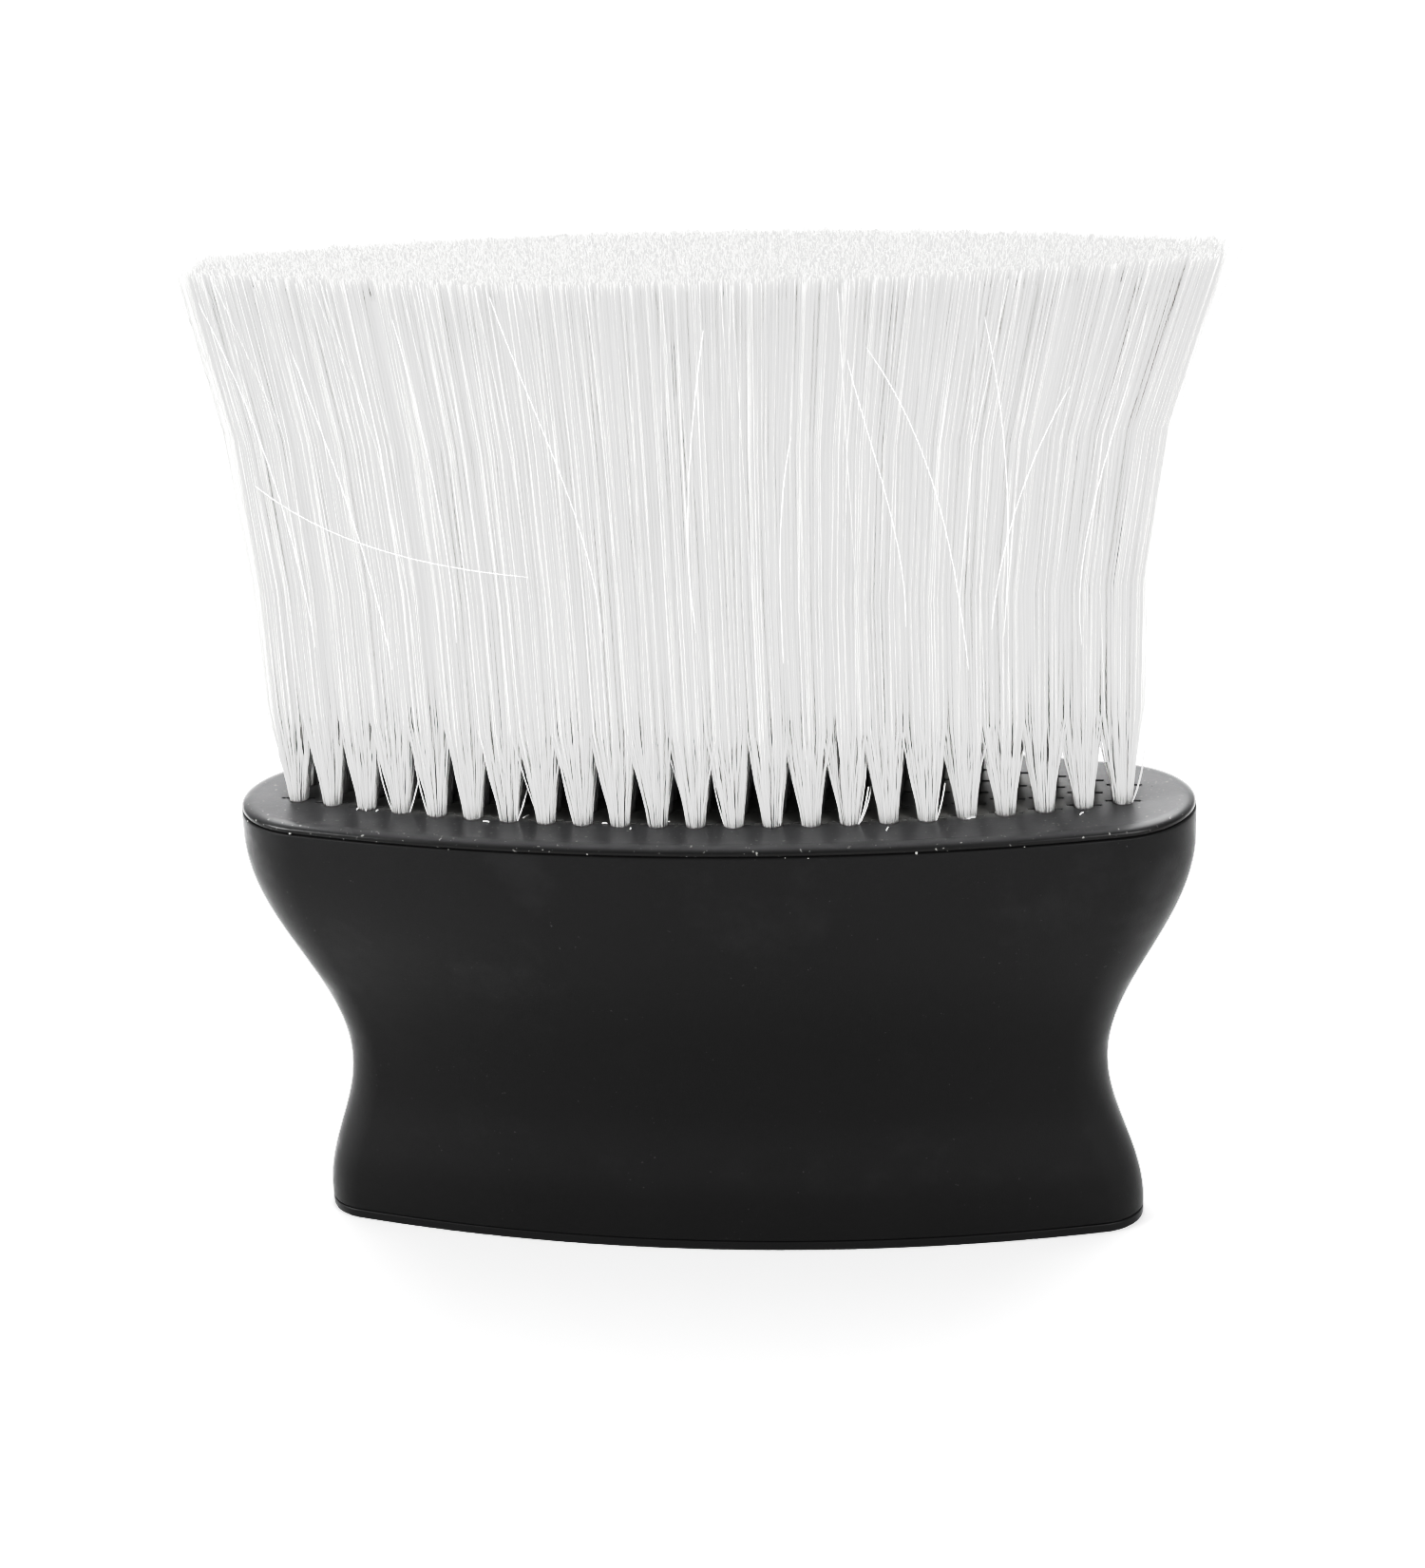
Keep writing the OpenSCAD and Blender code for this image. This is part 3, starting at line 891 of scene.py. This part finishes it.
def hole_cutters(sizes):
    """One mesh of closed prisms, one for each hole: the union of a circle and a slit, as the larger of
    the circle's radius and the ray's reach to the slit's box, with a small chamfer at the mouth."""
    corner = math.atan2(sizes.slit_width, sizes.slit_length)
    meet = math.asin(sizes.slit_width / sizes.hole_diameter)
    quarter = np.concatenate([[0, corner, meet], np.linspace(meet, math.pi / 2, 9)[1:]])
    half = np.concatenate([quarter, math.pi - quarter[-2::-1]])
    t = np.concatenate([half, math.pi + half[1:-1]])
    with np.errstate(divide="ignore"):
        along = sizes.slit_length / 2 / np.abs(np.cos(t))
        aside = sizes.slit_width / 2 / np.abs(np.sin(t))
    reach = np.maximum(sizes.hole_diameter / 2, np.minimum(along, aside))
    chamfer = 0.12 * MM
    z = np.array([PLATE_Z - sizes.hole_depth, PLATE_Z - chamfer, PLATE_Z + chamfer])
    grow = np.array([0, 0, 0.2]) * MM
    ring = (reach + grow[:, None])[..., None] * np.stack([np.cos(t), np.sin(t)], -1)
    points, faces, around = [], [], len(t)
    i = np.arange(around)
    for hole in ALL_HOLES:
        start = len(points) * 3 * around
        level = np.broadcast_to(z[:, None, None], (3, around, 1))
        points.append(np.concatenate([ring + hole, level], -1).reshape(-1, 3))
        for k in (0, 1):
            low, high = start + k * around, start + (k + 1) * around
            nxt = (i + 1) % around
            faces += np.stack([low + i, low + nxt, high + nxt, high + i], -1).tolist()
        faces += [(start + i[::-1]).tolist(), (start + 2 * around + i).tolist()]
    return mesh_from("hole_cutters", np.concatenate(points), faces)


class DUSTER_OT_plate(DusterOperator):
    """Build the bristle plate with its holes and slits"""

    bl_idname = "duster.plate"
    bl_label = "Bristle plate"

    def execute(self, context):
        settings = context.scene.duster
        sizes = settings.plate
        rim = rim_outline(settings.handle)
        plug = settings.handle.wall + 0.1 * MM
        edge = 0.25 * MM
        setback, gap = 0.12 * MM, 0.02 * MM
        low_inset, low_lift = round_over(edge, 5, math.pi / 2, 0)
        t = np.linspace(0, math.pi / 2, 14)
        land = SEAM_Z + 0.45 * MM
        side = setback + np.concatenate([low_inset, sizes.shoulder * (1 - np.cos(t))])
        shrink = np.concatenate([[plug, plug], side])
        z = np.concatenate([
            [PLATE_LOW.z, SEAM_Z], SEAM_Z + gap + edge - low_lift, land + (PLATE_Z - land) * np.sin(t)])
        mesh = ring_solid("bristle_plate", rings_from(rim - shrink[:, None], z), sharp=40)
        finish = plate_finish("plate_grey", settings.colour.plate)
        body = new_object("bristle_plate", mesh, finish)
        cutters = new_object("hole_cutters", hole_cutters(sizes), finish)
        cut = body.modifiers.new("holes", "BOOLEAN")
        cut.operation, cut.solver, cut.object = "DIFFERENCE", "EXACT", cutters
        graph = context.evaluated_depsgraph_get()
        drilled = bpy.data.meshes.new_from_object(body.evaluated_get(graph))
        body.modifiers.clear()
        body.data = drilled
        bpy.data.objects.remove(cutters)
        drilled.set_sharp_from_angle(angle=math.radians(40))
        if len(drilled.polygons) < len(mesh.polygons) + len(ALL_HOLES):
            raise RuntimeError("the holes were not cut into the bristle plate")
        self.place(body, "plate", "bristle_plate")
        return {"FINISHED"}


class DUSTER_OT_glue(DusterOperator):
    """Build the two adhesive rings and the specks squeezed out of the upper seam"""

    bl_idname = "duster.glue"
    bl_label = "Adhesive"

    def execute(self, context):
        settings = context.scene.duster
        sizes = settings.handle
        finish = glue_finish("adhesive", settings.colour.glue)
        rim, base = rim_outline(sizes), base_outline(sizes)
        for name, node, outline in (
            ("plate_glue", "plate_glue_bead", rim),
            ("base_glue", "base_glue_bead", base),
        ):
            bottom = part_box(node)[0].z
            t = np.linspace(0, 2 * np.pi, 12, endpoint=False)
            middle, radius = sizes.wall - 0.35 * MM, 0.4 * MM
            inset = middle - radius * np.cos(t)
            z = bottom + radius + 0.95 * radius * np.sin(t)
            rings = rings_from(outline - inset[:, None], z, ARC_STEPS // 2, 20)
            piece = new_object(name, ring_solid(name, rings, tube=True), finish)
            self.place(piece, "glue", node)
        rng = np.random.default_rng(9)
        edge = lens_outline(*(rim - 0.1 * MM), ARC_STEPS, END_STEPS)
        count = 14
        chosen = edge[rng.integers(0, len(edge), count)]
        level = SEAM_Z + rng.uniform(-0.15, 0.25, (count, 1)) * MM
        radii = 0.08 * MM + rng.exponential(0.05 * MM, count)
        specks = beads("squeezed_glue", np.column_stack([chosen, level]), np.minimum(radii, 0.3 * MM))
        piece = new_object("squeezed_glue", specks, glue_finish("pale_adhesive", DARK_DUST[:3]))
        self.place(piece, "glue", "plate_glue_bead")
        return {"FINISHED"}


class DUSTER_OT_tufts(DusterOperator):
    """Build the nylon tufts, row by row, as separate filaments, and the hairs that have left them"""

    bl_idname = "duster.tufts"
    bl_label = "Tufts"

    def execute(self, context):
        settings = context.scene.duster
        sizes = settings.tuft
        finish = nylon_finish("nylon", settings.colour.nylon, 0.6)
        most_tufts = 12
        for row in range(1, ROWS + 1):
            holes, gaps = HOLES[row], row_gaps(row)
            parts = math.ceil(len(holes) / most_tufts)
            cuts = np.array_split(np.arange(len(holes)), parts)
            for part, chosen in enumerate(cuts):
                name = f"tuft_row_{row}_part_{part + 1}"
                seed = 100 * row + part
                paths = filament_paths(holes[chosen], gaps[chosen], sizes, seed)
                tone = random_tones(np.random.default_rng(seed + 7), len(paths))
                mesh = tubes(name, paths, sizes.diameter / 2, tone)
                piece = new_object(name, mesh, finish)
                self.place(piece, "bristle", f"tuft_row_{row}")
        heart = new_object("fan_heart", fan_heart(sizes), finish)
        self.place(heart, "bristle", *(f"tuft_row_{row}" for row in range(1, ROWS + 1)))
        paths, hair_radius = loose_hairs(), 0.075 * MM
        hairs = tubes("loose_hairs", paths, hair_radius, np.ones(len(paths)), sides=5)
        single = nylon_finish("single_nylon", settings.colour.nylon, 0.2)
        self.place(new_object("loose_hairs", hairs, single), "bristle", "tuft_row_1")
        return {"FINISHED"}


class DUSTER_OT_anchors(DusterOperator):
    """Give the anchors their metal"""

    bl_idname = "duster.anchors"
    bl_label = "Anchors"

    def execute(self, context):
        finish = drawn_wire("anchor_wire", context.scene.duster.colour.anchor)
        for row in range(1, ROWS + 1):
            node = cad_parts[f"anchor_row_{row}"]
            node.data.materials.clear()
            node.data.materials.append(finish)
        return {"FINISHED"}


class DUSTER_OT_stage(DusterOperator):
    """Set up the floor, the light and the camera"""

    bl_idname = "duster.stage"
    bl_label = "Stage"

    def execute(self, context):
        settings = context.scene.duster
        stage = settings.stage
        scene = context.scene
        scene.view_settings.view_transform = "Standard"
        self.set_tones(scene.view_settings)
        half, cells, below = 2.5, 8, 0.02 * MM
        steps = np.linspace(-half, half, cells + 1)
        x, y = np.meshgrid(steps, steps)
        points = np.stack([x, y, np.full_like(x, -below)], -1).reshape(-1, 3)
        i = np.arange(cells)[None, :] + (cells + 1) * np.arange(cells)[:, None]
        faces = np.stack([i, i + 1, i + cells + 2, i + cells + 1], -1).reshape(-1, 4).tolist()
        finish = floor_finish("floor", settings.colour.floor)
        floor = new_object("floor", mesh_from("floor", points, faces), finish)

        world = bpy.data.worlds.new("studio")
        world.use_nodes = True
        background = world.node_tree.nodes["Background"]
        background.inputs["Color"].default_value = (1, 1, 1, 1)
        self.dim_overhead(world.node_tree, background, stage)
        scene.world = world
        for name, power, size, place in (
            ("key", stage.key, 0.9, (-1.2, -0.65, 0.65)),
            ("fill", stage.key * 0.55, 0.8, (0.85, -0.9, 0.6)),
            ("back", stage.key * 1.4, 2.0, (0.0, 0.95, 1.55)),
        ):
            lamp = bpy.data.lights.new(name, "AREA")
            lamp.shape, lamp.size, lamp.energy = "DISK", size, power
            made = bpy.data.objects.new(name, lamp)
            made.rotation_mode = "QUATERNION"
            made.rotation_quaternion = Vector(place).to_track_quat("Z", "Y")
            made.location = place
            scene.collection.objects.link(made)

        camera_data = bpy.data.cameras.new("camera")
        camera_data.lens, camera_data.sensor_width = stage.lens, 36.0
        camera_data.clip_start = 0.01
        camera = bpy.data.objects.new("camera", camera_data)
        camera.matrix_world = self.camera_place(stage)
        scene.collection.objects.link(camera)
        scene.camera = camera
        return {"FINISHED"}

    @staticmethod
    def set_tones(view):
        """A film's response: deep blacks, a steep middle, pale tones close together, and clear white."""
        view.use_curve_mapping = True
        combined = view.curve_mapping.curves[3]
        combined.points[1].location = (1.0, 0.95)
        for shown, tone in ((0.05, 0.034), (0.32, 0.67), (0.6, 0.775), (0.78, 0.812), (0.89, 0.885)):
            combined.points.new(shown, tone)
        view.curve_mapping.update()

    @staticmethod
    def dim_overhead(tree, background, stage):
        """Surroundings that dim smoothly from the horizon to straight overhead."""
        place = tree.nodes.new("ShaderNodeTexCoord")
        parts = tree.nodes.new("ShaderNodeSeparateXYZ")
        ramp = tree.nodes.new("ShaderNodeMapRange")
        ramp.inputs["From Min"].default_value = 0.1
        ramp.inputs["To Min"].default_value = stage.world
        ramp.inputs["To Max"].default_value = stage.world * stage.overhead
        tree.links.new(place.outputs["Generated"], parts.inputs[0])
        tree.links.new(parts.outputs["Z"], ramp.inputs["Value"])
        tree.links.new(ramp.outputs[0], background.inputs["Strength"])

    @staticmethod
    def camera_place(stage):
        """Right and up axes turned by the roll, and a place one distance back along the view."""
        turn, look, roll = stage.azimuth, stage.elevation, stage.roll
        right = np.array([math.cos(turn), math.sin(turn), 0.0])
        ahead = np.array([-math.sin(turn), math.cos(turn), 0.0])
        view = math.cos(look) * ahead - math.sin(look) * np.array([0.0, 0.0, 1.0])
        up = np.cross(right, view)
        x = math.cos(roll) * right + math.sin(roll) * up
        y = math.cos(roll) * up - math.sin(roll) * right
        target = 0.2 * MM * right + np.array([0.0, 0.0, stage.target_height])
        place = target - view * stage.distance
        rows = np.vstack([np.column_stack([x, y, -view, place]), [0, 0, 0, 1]])
        return Matrix(rows.tolist())


class DUSTER_PT_panel(bpy.types.Panel):
    """Lists the brush's operators."""

    bl_label = "Neck duster"
    bl_space_type = "VIEW_3D"
    bl_region_type = "UI"
    bl_category = "Duster"

    def draw(self, context):
        for operator in BUILDERS:
            self.layout.operator(operator.bl_idname)


BUILDERS = (
    DUSTER_OT_stage,
    DUSTER_OT_handle,
    DUSTER_OT_base_cap,
    DUSTER_OT_plate,
    DUSTER_OT_glue,
    DUSTER_OT_anchors,
    DUSTER_OT_tufts,
)
GROUPS = (HandleSizes, PlateSizes, TuftSizes, Colours, StageSettings, DusterSettings)


def register():
    """Registers the settings, the operators and the panel."""
    for made in (*GROUPS, *BUILDERS, DUSTER_PT_panel):
        bpy.utils.register_class(made)
    bpy.types.Scene.duster = PointerProperty(type=DusterSettings)


def unregister():
    """Undoes register."""
    del bpy.types.Scene.duster
    for made in reversed((*GROUPS, *BUILDERS, DUSTER_PT_panel)):
        bpy.utils.unregister_class(made)


def main():
    """Builds the brush and its stage."""
    register()
    for operator in BUILDERS:
        group, name = operator.bl_idname.split(".")
        getattr(getattr(bpy.ops, group), name)()


if __name__ == "__main__":
    main()
